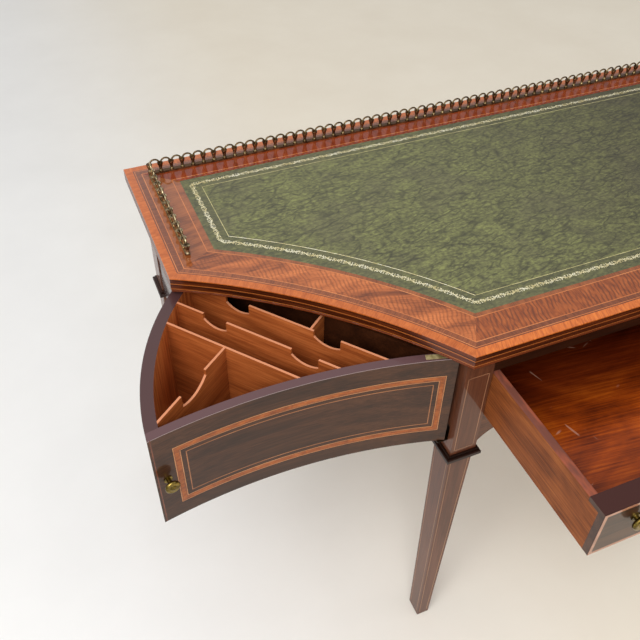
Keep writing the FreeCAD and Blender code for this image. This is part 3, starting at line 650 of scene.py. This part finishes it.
def keep_piece(name, bm, finish, body, replaced=()):
    mesh = bpy.data.meshes.new(name)
    bm.to_mesh(mesh)
    bm.free()
    mesh.materials.append(finish.material)
    piece = bpy.data.objects.new(name, mesh)
    bpy.context.scene.collection.objects.link(piece)
    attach(piece, body)
    if replaced:
        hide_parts(*replaced)
    print(name, len(mesh.polygons), "faces")
    return piece


# %% [markdown]
# Every band of the top lies between two lines that run inside the outline. Such a line is
# given by four insets: from the side, the back, the front and the concave edge. The two
# points where it turns are worked out here, and from them the ends of its straight runs.

# %% Lines inside the outline
def turning_points(insets):
    """Where a line inside the outline meets its left concave part, on the side and in front."""
    side, _, front, concave = insets
    radius = concave_radius + concave
    left = side - half_width
    face = front - half_depth
    side_y = concave_centre.y + math.sqrt(radius ** 2 - (left - concave_centre.x) ** 2)
    front_x = concave_centre.x + math.sqrt(radius ** 2 - (face - concave_centre.y) ** 2)
    return Vector((left, side_y, 0)), Vector((front_x, face, 0))


side_run, concave_run, front_run, back_run = range(4)


def straight_runs(insets):
    """Both ends of each straight run on the left half of a line."""
    side, front = turning_points(insets)
    back = Vector((insets[0] - half_width, half_depth - insets[1], 0))
    return {side_run: (back, side), front_run: (front, Vector((0, front.y, 0))),
            back_run: (Vector((0, back.y, 0)), back)}


# %% [markdown]
# The concave part of a band is a small edge spun about the corner's centre and cut by the
# mitres, which is how a router on a trammel does it.

# %% Concave part of a band
arc_steps = 48
spare_turn = 0.25


def add_concave(bm, outer, inner, run_layer, run):
    """The left concave part of a band, spun about the corner's centre and mitred."""
    outer_side, outer_front = turning_points(outer)
    inner_side, inner_front = turning_points(inner)
    first = outer_front - concave_centre
    start = math.atan2(first.y, first.x) - spare_turn
    last = outer_side - concave_centre
    sweep = math.atan2(last.y, last.x) + spare_turn - start
    ray = Vector((math.cos(start), math.sin(start), 0))
    ends = [bm.verts.new(concave_centre + ray * (concave_radius + insets[3]))
            for insets in (outer, inner)]
    edge = bm.edges.new(ends)
    bmesh.ops.spin(bm, geom=ends + [edge], cent=concave_centre, axis=(0, 0, 1),
                   angle=sweep, steps=arc_steps)
    middle = concave_centre + Vector((1, 1, 0)).normalized() * concave_radius
    for near, far in ((outer_side, inner_side), (outer_front, inner_front)):
        across = (far - near).cross(Vector((0, 0, 1))).normalized()
        if across.dot(middle - near) > 0:
            across.negate()
        bmesh.ops.bisect_plane(bm, geom=bm.verts[:] + bm.edges[:] + bm.faces[:],
                               plane_co=near, plane_no=across, clear_outer=True)
    for face in bm.faces:
        face[run_layer] = run


# %% [markdown]
# On the UV map of a band the first coordinate follows the band and the second crosses it.
# How they are measured depends on the run that the point lies on.

# %% Places along and across a band
def place_on_run(spot, run):
    x, y, _ = spot
    if run == side_run:
        return y, half_width - abs(x)
    if run == front_run:
        return x, y + half_depth
    if run == back_run:
        return x, half_depth - y
    reach = Vector((-abs(x), y, 0)) - concave_centre
    return math.atan2(reach.y, reach.x) * concave_radius, reach.length - concave_radius


# %% [markdown]
# A band is the concave part and three straight quads, mirrored to the right half. The
# right half and every run start somewhere else on the map, so that no veneer shows twice.

# %% Bands
far_side_shift = 3.7


def lay_band(name, outer, inner, finish, replaced=(), leaves=None, top=veneer_top,
             thickness=veneer_thickness):
    """A closed band between two lines. Leaves gives a run its own finish."""
    leaves = leaves or {}
    leaf_runs = list(leaves)
    bm = bmesh.new()
    run_layer = bm.faces.layers.int.new("run")
    add_concave(bm, outer, inner, run_layer, concave_run)
    inner_runs = straight_runs(inner)
    for run, (begin, end) in straight_runs(outer).items():
        inner_begin, shaded_depth = inner_runs[run]
        corners = (begin, end, shaded_depth, inner_begin)
        bm.faces.new([bm.verts.new(corner) for corner in corners])[run_layer] = run
    bmesh.ops.mirror(bm, geom=bm.verts[:] + bm.edges[:] + bm.faces[:], axis="X",
                     merge_dist=0.01 * mm)
    bmesh.ops.remove_doubles(bm, verts=bm.verts[:], dist=0.01 * mm)
    bmesh.ops.translate(bm, verts=bm.verts[:], vec=(0, 0, top))
    thicken(bm, (0, 0, -thickness))

    def place(face, spot):
        run = face[run_layer]
        along, across = place_on_run(spot, run)
        if face.calc_center_median().x > 0 and run in (side_run, concave_run):
            along += far_side_shift
        return along + run, across

    map_band(bm, place)
    for face in bm.faces:
        if face[run_layer] in leaves:
            face.material_index = 1 + leaf_runs.index(face[run_layer])
    piece = keep_piece(name, bm, finish, "table", replaced)
    for run in leaf_runs:
        piece.data.materials.append(leaves[run].material)


# %% [markdown]
# The insets of the lines come from the edge inwards. The crossband ends at a double line,
# brown and light. A dark band and a light string come next, then the wide border, one more
# light string, and a narrow band beside the leather. Each side of a band may be another
# leaf: the dark band is paler on the concave corners.

# %% Veneer bands and strings
string_width = 1.2 * mm


def even(inset):
    return (inset, inset, inset, inset)


def further_in(line, step):
    return tuple(inset + step for inset in line)


crossband_line = even(13.2 * mm)
brown_line = even(14.9 * mm)
light_line = further_in(brown_line, string_width)
outer_string = (25.0 * mm, 25.0 * mm, 23.8 * mm, 24.6 * mm)
outer_string_inside = further_in(outer_string, string_width)
inner_string = (67.8 * mm, 61.0 * mm, 65.0 * mm, 67.7 * mm)
inner_string_inside = further_in(inner_string, string_width)
leather_line = (79.5 * mm, 69.5 * mm, 73.2 * mm, 75.5 * mm)
border_leaves = {concave_run: flame_wood, front_run: ripple_wood, back_run: red_border_wood}
lay_band("crossband", even(0), crossband_line, satinwood, ["top_crossband"],
         {front_run: bright_satinwood})
lay_band("edge_string_brown", crossband_line, brown_line, brown_string)
lay_band("edge_string_light", brown_line, light_line, boxwood,
         ["top_stringing"])
lay_band("dark_band", light_line, outer_string, dark_band_wood,
         leaves={concave_run: corner_band_wood})
lay_band("border_string_outer", outer_string, outer_string_inside, boxwood)
lay_band("wide_border", outer_string_inside, inner_string, border_wood,
         ["top_border"], border_leaves)
lay_band("border_string_inner", inner_string, inner_string_inside, boxwood)
lay_band("leather_side_band", inner_string_inside, leather_line, border_wood,
         leaves={back_run: red_border_wood})

# %% [markdown]
# The tooling on the leather is gold leaf, pressed in with hot brass wheels: a scroll band
# and a fine line inside it. Outside the line the hide is darker. The margin and the line
# are thin bands like the others, lying on the leather. The line is brighter along the
# concave corners.

# %% Leather margin and gilt line
gilt_line = (109.2 * mm, 99.2 * mm, 105.6 * mm, 110.1 * mm)
gilt_line_width = 0.9 * mm
lay_band("leather_margin", leather_line, gilt_line, margin_leather,
         top=0.04 * mm, thickness=0.3 * mm)
lay_band("gilt_line", gilt_line, further_in(gilt_line, gilt_line_width), dull_gilding,
         leaves={concave_run: gilding}, top=0.08 * mm, thickness=0.3 * mm)

# %% [markdown]
# The scroll band repeats one small motif: a winding vine with curled tendrils, leaves and
# berries on both sides. A ribbon is a short edge spun about a point, and a leaf or a berry
# is a circle of few corners, flattened and turned.

# %% Ribbons and leaves
def add_ribbon(bm, centre, radius, width, start, sweep, steps=7):
    """A curved ribbon: a short edge spun about a centre in the plane."""
    ray = Vector((math.cos(start), math.sin(start), 0))
    ends = [bm.verts.new(Vector(centre) + ray * (radius + part * width / 2)) for part in (-1, 1)]
    edge = bm.edges.new(ends)
    bmesh.ops.spin(bm, geom=ends + [edge], cent=Vector(centre), axis=(0, 0, 1),
                   angle=sweep, steps=steps)


def add_leaf(bm, centre, length, width, turn):
    place = (Matrix.Translation(Vector(centre)) @ Matrix.Rotation(turn, 4, "Z")
             @ Matrix.Diagonal((length / 2, width / 2, 1, 1)))
    bmesh.ops.create_circle(bm, cap_ends=True, segments=6, radius=1, matrix=place)


# %% [markdown]
# One motif is made flat. The tables give its shapes in millimetres from the middle of a
# bend of the vine. The angles of tendrils are in degrees and those of leaves in radians.

# %% The motif of the scroll
motif_length = 34 * mm
vine_rise = 1.5 * mm
vine_width = 0.8 * mm
tendril_width = 0.65 * mm
gilt_thickness = 0.06 * mm
tendrils = (  # along, height, radius, first angle, sweep
    (-3.4, -1.6, 1.8, 80, 250), (4.4, -1.8, 1.5, 120, -240), (0.6, 3.0, 1.0, 260, 220))
leaves_and_berries = (  # along, height, length, width, turn
    (-6.4, 2.3, 3.2, 1.0, 0.7), (-3.0, 3.1, 2.6, 0.9, 1.0), (3.4, 2.9, 3.0, 1.0, -0.6),
    (6.0, 1.9, 2.8, 0.9, -1.1), (7.4, -1.0, 2.4, 0.9, 0.4), (0.8, -1.2, 2.8, 0.9, -0.4),
    (-7.2, -1.9, 2.4, 0.9, -0.8), (1.0, -3.1, 2.2, 0.9, 0.2),
    (-3.4, -1.6, 1.2, 1.2, 0.0), (4.4, -1.8, 1.0, 1.0, 0.0))


def make_motif():
    """One repeat: two bends of the vine, each with tendrils, leaves and berries."""
    bm = bmesh.new()
    half = motif_length / 2
    bend = ((half / 2) ** 2 + vine_rise ** 2) / (2 * vine_rise)
    opening = math.asin(half / 2 / bend)
    for flip in (1, -1):
        middle = half / 2 if flip == 1 else half * 1.5
        add_ribbon(bm, (middle, (vine_rise - bend) * flip, 0), bend, vine_width,
                   (math.pi / 2 - opening) * flip, 2 * opening * flip, steps=8)
        for along, height, radius, start, sweep in tendrils:
            add_ribbon(bm, (middle + along * mm, height * mm * flip, 0), radius * mm,
                       tendril_width, math.radians(start * flip), math.radians(sweep * flip))
        for along, height, length, width, turn in leaves_and_berries:
            add_leaf(bm, (middle + along * mm, height * mm * flip, 0), length * mm, width * mm,
                     turn * flip)
    thicken(bm, (0, 0, -gilt_thickness))
    mesh = bpy.data.meshes.new("motif")
    bm.to_mesh(mesh)
    bm.free()
    return mesh


motif = make_motif()
print("motif of the scroll", len(motif.polygons), "faces")

# %% [markdown]
# The motif is copied along each run and bent to the concave one by moving its vertices
# onto the path. Its length is fitted so that a whole number of repeats fills a run.

# %% Gilt scroll band
gilt_level = 0.12 * mm


def lay_scroll(name, insets):
    """The motif repeated along the four runs of the left half, then mirrored."""
    back_point, side_point = straight_runs(insets)[side_run]
    front_point, _ = straight_runs(insets)[front_run]
    radius = concave_radius + insets[3]
    first = front_point - concave_centre
    start = math.atan2(first.y, first.x)
    last = side_point - concave_centre
    sweep = math.atan2(last.y, last.x) - start

    def concave(along, across):
        angle = start + along / radius
        ray = Vector((math.cos(angle), math.sin(angle), 0))
        return concave_centre + ray * (radius + across)

    def straight(begin, direction, inwards):
        def place(along, across):
            return begin + Vector(direction) * along + Vector(inwards) * across
        return place

    runs = [
        (radius * sweep, concave),
        (back_point.y - side_point.y, straight(back_point, (0, -1, 0), (1, 0, 0))),
        (-front_point.x, straight(front_point, (1, 0, 0), (0, 1, 0))),
        (-back_point.x, straight(back_point, (1, 0, 0), (0, -1, 0))),
    ]
    bm = bmesh.new()
    for length, place in runs:
        count = max(1, round(length / motif_length))
        fit = length / count / motif_length
        for index in range(count):
            known = len(bm.verts)
            bm.from_mesh(motif)
            bm.verts.ensure_lookup_table()
            for vert in bm.verts[known:]:
                along = (vert.co.x + index * motif_length) * fit
                spot = place(along, vert.co.y)
                vert.co = (spot.x, spot.y, gilt_level + vert.co.z)
    bmesh.ops.mirror(bm, geom=bm.verts[:] + bm.edges[:] + bm.faces[:], axis="X", merge_dist=0)
    bmesh.ops.recalc_face_normals(bm, faces=bm.faces[:])
    keep_piece(name, bm, gilding, "table")


lay_scroll("gilt_scroll", (94.8 * mm, 86.4 * mm, 91.9 * mm, 96.5 * mm))

# %% [markdown]
# The concave front boards are inlaid with a rectangle of satinwood banding between pale
# and dark lines, and with a finer line inside it. The inlays are laid flat first, in
# lengths along the board and heights, and then bent onto the board's face and swung open
# with it.

# %% Flat frames
inlay_depth = 0.5 * mm
inlay_proud = 0.08 * mm


def add_frame(bm, low, high, width):
    """Four mitred strips round a rectangle, flat in X and Y."""
    (x0, y0), (x1, y1) = low, high
    outside = [(x0, y0), (x1, y0), (x1, y1), (x0, y1)]
    inside = [(x0 + width, y0 + width), (x1 - width, y0 + width),
              (x1 - width, y1 - width), (x0 + width, y1 - width)]
    outer = [bm.verts.new((x, y, 0)) for x, y in outside]
    inner = [bm.verts.new((x, y, 0)) for x, y in inside]
    for index in range(4):
        after = (index + 1) % 4
        bm.faces.new([outer[index], outer[after], inner[after], inner[index]])


# %% [markdown]
# Before it is bent, the long sides of a flat frame are cut into short lengths. The left
# board is then swung about the pivot to where it stands open, and the right one is
# mirrored and shut.

# %% Bending inlays onto a board
bend_cuts = 40
pivot_reach = pivot - concave_centre
pivot_angle = math.atan2(pivot_reach.y, pivot_reach.x)
swing_open = (Matrix.Translation(pivot) @ Matrix.Rotation(open_angle, 4, "Z")
              @ Matrix.Translation(-pivot))


def cut_along(bm, cuts):
    """Cuts the long level edges so that a flat frame can be bent."""
    level = [edge for edge in bm.edges
             if abs(edge.verts[0].co.y - edge.verts[1].co.y) < 0.1 * mm
             and edge.calc_length() > 50 * mm]
    bmesh.ops.subdivide_edges(bm, edges=level, cuts=cuts, use_grid_fill=False)


def bend_to_board(bm, side, proud):
    """Moves flat lengths and heights onto the face of the left or right board."""
    for vert in bm.verts:
        along, height, depth = vert.co
        angle = pivot_angle + along / board_face_radius
        radius = board_face_radius - proud - depth
        spot = concave_centre + Vector((math.cos(angle), math.sin(angle), 0)) * radius
        if side == "left":
            spot = swing_open @ spot
        else:
            spot.x = -spot.x
        vert.co = (spot.x, spot.y, height)
    bmesh.ops.recalc_face_normals(bm, faces=bm.faces[:])


# %% [markdown]
# Each rectangle is made on both boards. The lines are insets of the banding's own
# rectangle. A dark upright string marks the outer end of the board.

# %% Inlays of both front boards
banding = wood("board_banding", ((112, 54, 14), (146, 74, 22), (172, 94, 34)), along_band,
               "band", figure_scale=120, figure_stretch=0.6, grain_scale=600, polish=0.55)
pale_string = string_wood("pale_string", ((160, 102, 56), (182, 120, 70), (196, 136, 84)),
                          polish=0.55)
dull_string = string_wood("dull_string", ((130, 80, 46), (152, 97, 60), (168, 113, 72)),
                          polish=0.6)
banding_low = (8 * mm, -185.6 * mm)
banding_high = (395 * mm, -67.1 * mm)
end_string_low = (420.0 * mm, -211.6 * mm)
end_string_high = (421.4 * mm, -34.0 * mm)
line_proud = 1.5 * inlay_proud
inlays = (  # name, inset, width, finish, how far it stands proud
    ("banding", 0.0, 10 * mm, banding, inlay_proud),
    ("banding_line_outer", 0.0, 1.1 * mm, pale_string, line_proud),
    ("banding_dark_outer", 1.1 * mm, 0.7 * mm, brown_string, line_proud),
    ("banding_dark_inner", 8.2 * mm, 0.7 * mm, brown_string, line_proud),
    ("banding_line_inner", 8.9 * mm, 1.1 * mm, pale_string, line_proud),
    ("fine_line", 16.5 * mm, 1.4 * mm, dull_string, line_proud),
)


def inlay(name, side, bm, finish, proud):
    """Gives a flat inlay its thickness and UV map and bends it onto a board."""
    thicken(bm, (0, 0, -inlay_depth))
    map_band(bm, as_it_lies)
    bend_to_board(bm, side, proud)
    keep_piece(side + "_" + name, bm, finish, side + "_compartment")


for side in ("left", "right"):
    for name, inset, width, finish, proud in inlays:
        bm = bmesh.new()
        add_frame(bm, (banding_low[0] + inset, banding_low[1] + inset),
                  (banding_high[0] - inset, banding_high[1] - inset), width)
        cut_along(bm, bend_cuts)
        inlay(name, side, bm, finish, proud)
    bm = bmesh.new()
    (x0, y0), (x1, y1) = end_string_low, end_string_high
    bm.faces.new([bm.verts.new((x, y, 0)) for x, y in ((x0, y0), (x1, y0), (x1, y1), (x0, y1))])
    inlay("end_string", side, bm, brown_string, inlay_proud)

# %% [markdown]
# The legs have light strings. Each is a thin bar let into a face, made from a cube that is
# stretched and turned between two points.

# %% A string between two points
string_depth = 0.6 * mm
string_proud = 0.1 * mm


def add_bar(bm, start, end, outwards, width=1.4 * mm):
    """A thin bar from start to end, let into a face that looks outwards."""
    along = end - start
    across = outwards.cross(along).normalized()
    place = Matrix((along.normalized(), across, outwards)).transposed().to_4x4()
    middle = (start + end) / 2 + outwards * (string_proud - string_depth / 2)
    size = Matrix.Diagonal((along.length + width, width, string_depth, 1))
    bmesh.ops.create_cube(bm, size=1, matrix=Matrix.Translation(middle) @ place @ size)


# %% [markdown]
# A leg has a frame on the front of its block, and lines on its two outer faces that follow
# the taper below the collar. The inner edge of a tapered face is given at the neck and at
# the foot. These are the strings of the front left leg.

# %% Strings of one leg
leg_string = string_wood("leg_string", ((126, 86, 60), (146, 102, 73), (162, 116, 86)),
                         polish=0.6)
leg_left = -275.5 * mm
leg_right = -230.5 * mm
leg_front = -285.5 * mm
block_low = -229 * mm
block_high = -68 * mm
block_inset = 6 * mm
taper_top = -254.8 * mm
taper_bottom = floor_level + 12 * mm
taper_inset = 4.5 * mm
front_inner_edge = (-234.5 * mm, -251.5 * mm)
side_inner_edge = (-241.0 * mm, -253.0 * mm)


def add_taper_strings(bm, outwards, at, outer_edge, inner_edge):
    """Two lines down a face of the taper, whose inner edge runs from neck to foot."""
    neck, foot = inner_edge
    for top, bottom in ((outer_edge + taper_inset, outer_edge + taper_inset),
                        (neck - taper_inset, foot - taper_inset)):
        add_bar(bm, at(top, taper_top), at(bottom, taper_bottom), outwards)


def add_leg_strings(bm):
    front = Vector((0, -1, 0))
    left = Vector((-1, 0, 0))

    def on_front(across, height):
        return Vector((across, leg_front, height))

    def on_left(across, height):
        return Vector((leg_left, across, height))

    x0, x1 = leg_left + block_inset, leg_right - block_inset
    corners = [on_front(x, z) for x, z in ((x0, block_low), (x1, block_low), (x1, block_high),
                                           (x0, block_high))]
    for index in range(4):
        add_bar(bm, corners[index], corners[(index + 1) % 4], front)
    add_taper_strings(bm, front, on_front, leg_left, front_inner_edge)
    add_taper_strings(bm, left, on_left, leg_front, side_inner_edge)


# %% [markdown]
# A rear leg stands further out and its outer face looks back, so the strings are turned
# round and moved. The right legs are mirror images.

# %% Strings of the four legs
rear_leg_shift = -311.5 * mm
rear_leg_turn = 11.5 * mm
for rear in (False, True):
    for right in (False, True):
        bm = bmesh.new()
        add_leg_strings(bm)
        for vert in bm.verts:
            if rear:
                vert.co.y = rear_leg_turn - vert.co.y
                vert.co.x += rear_leg_shift
            if right:
                vert.co.x = -vert.co.x
        bmesh.ops.recalc_face_normals(bm, faces=bm.faces[:])
        map_band(bm, lambda _, spot: (spot.z, spot.x + spot.y))
        place_name = ("rear" if rear else "front") + ("_right" if right else "_left")
        keep_piece("leg_strings_" + place_name, bm, leg_string, "table")

# %% [markdown]
# The drawer front has a light border let in along its edges, mitred at the corners.

# %% Border of the drawer front
border_finish = string_wood("drawer_border", ((144, 92, 68), (172, 116, 88), (190, 134, 106)),
                            pores=0.35)
front_border_width = 5.0 * mm
low_corner, high_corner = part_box("drawer_front")
bm = bmesh.new()
add_frame(bm, (low_corner.x, low_corner.z), (high_corner.x, high_corner.z),
          front_border_width)
thicken(bm, (0, 0, -inlay_depth))
map_band(bm, as_it_lies)
for vert in bm.verts:
    x, z, depth = vert.co
    vert.co = (x, low_corner.y - inlay_proud - depth, z)
bmesh.ops.recalc_face_normals(bm, faces=bm.faces[:])
keep_piece("drawer_front_border", bm, border_finish, "drawer")

# %% [markdown]
# The studio is a pale floor under soft light. The floor is cool on the left and painted
# warmer to the right, a painted warm tint of the shade round the table.

# %% Floor
bm = bmesh.new()
bmesh.ops.create_grid(bm, x_segments=1, y_segments=1, size=12,
                      matrix=Matrix.Translation((0, 0, floor_level)))
floor_mesh = bpy.data.meshes.new("floor")
bm.to_mesh(floor_mesh)
bm.free()
floor = bpy.data.objects.new("floor", floor_mesh)
bpy.context.scene.collection.objects.link(floor)
floor_finish = Finish("studio_floor", roughness=0.6)
dust = floor_finish.noise(floor_finish.place(), 3.5, detail=5, roughness=0.6)
# painted warm tint of the shade, from the left to the right of the floor
shade_warmth = floor_finish.between(floor_finish.coordinate("X"), -0.9, 0.25)
cool_floor = floor_finish.ramp(dust, (0.3, 0.7), (234, 234, 233), (239, 239, 238))
shade_warmed_floor = floor_finish.ramp(dust, (0.3, 0.7), (233, 224, 207), (238, 230, 214))
floor_finish.paint(floor_finish.mix(shade_warmth, cool_floor, shade_warmed_floor))
floor_mesh.materials.append(floor_finish.material)

# %% [markdown]
# The world lights everything evenly. Where the camera or a reflection meets it, it shows as
# white on the left and greyer to the right, as a room does beside a large window. The kind
# of ray tells which of the two backgrounds is wanted.

# %% World
world = bpy.data.worlds.new("studio")
bpy.context.scene.world = world
sky = NodeTree(world)
lighting = sky.tree.nodes["Background"]
sky.feed(lighting.inputs["Color"], (1.0, 0.985, 0.965, 1))
sky.feed(lighting.inputs["Strength"], 0.67)
direction = sky.add("ShaderNodeTexCoord").outputs["Generated"]
sideways = sky.add("ShaderNodeSeparateXYZ", Vector=direction).outputs["X"]
fall = sky.add("ShaderNodeMapRange", Value=sideways, From_Min=0.15, From_Max=0.75, To_Min=0.98,
               To_Max=0.4).outputs[0]
seen = sky.add("ShaderNodeBackground", Color=(1, 1, 1, 1), Strength=fall)
rays = sky.add("ShaderNodeLightPath").outputs
looks = sky.calculate("MAXIMUM", rays["Is Camera Ray"], rays["Is Glossy Ray"])
looks = sky.calculate("MAXIMUM", looks, rays["Is Transmission Ray"])
shown = sky.add("ShaderNodeMixShader")
for socket, value in zip(shown.inputs, (looks, lighting.outputs[0], seen.outputs[0])):
    sky.feed(socket, value)
sky.feed(sky.tree.nodes["World Output"].inputs["Surface"], shown.outputs[0])
print("world with", len(sky.tree.nodes), "nodes")

# %% [markdown]
# Two large lamps give the light a side.

# %% Lamps
def softbox(name, place, target, size, power):
    lamp = bpy.data.lights.new(name, "AREA")
    lamp.shape = "SQUARE"
    lamp.size = size
    lamp.energy = power
    holder = bpy.data.objects.new(name, lamp)
    bpy.context.scene.collection.objects.link(holder)
    holder.location = place
    holder.rotation_mode = "QUATERNION"
    holder.rotation_quaternion = (Vector(target) - Vector(place)).to_track_quat("-Z", "Y")
    print(name, power, "W")


softbox("left_softbox", place=(-1.8, -1.7, 2.3), target=(-0.4, -0.1, -0.3), size=2.2, power=90)
softbox("right_softbox", place=(2.2, -1.5, 2.1), target=(0, 0, -0.2), size=1.6, power=8)

# %% [markdown]
# The camera stands where the picture of the table was taken from: in front of the left
# corner, looking down. Its angles are turned into three axes, and the sensor's width and
# the lens give the same field of view.

# %% Camera
camera_place = (-742.2 * mm, -866.9 * mm, 723.5 * mm)
yaw = math.radians(23.105)
pitch = math.radians(43.435)
roll = math.radians(-0.786)
forward = Vector((math.sin(yaw) * math.cos(pitch), math.cos(yaw) * math.cos(pitch),
                  -math.sin(pitch)))
level_right = Vector((math.cos(yaw), -math.sin(yaw), 0))
level_down = forward.cross(level_right)
right = level_right * math.cos(roll) + level_down * math.sin(roll)
down = level_down * math.cos(roll) - level_right * math.sin(roll)
camera_data = bpy.data.cameras.new("camera")
camera_data.sensor_width = 36
camera_data.sensor_fit = "HORIZONTAL"
camera_data.lens = 43.55
camera = bpy.data.objects.new("camera", camera_data)
bpy.context.scene.collection.objects.link(camera)
camera.matrix_world = (Matrix.Translation(camera_place)
                       @ Matrix((right, -down, -forward)).transposed().to_4x4())
bpy.context.scene.camera = camera
bpy.context.scene.view_settings.view_transform = "Standard"
print("camera at", tuple(round(v, 3) for v in camera.matrix_world.translation))
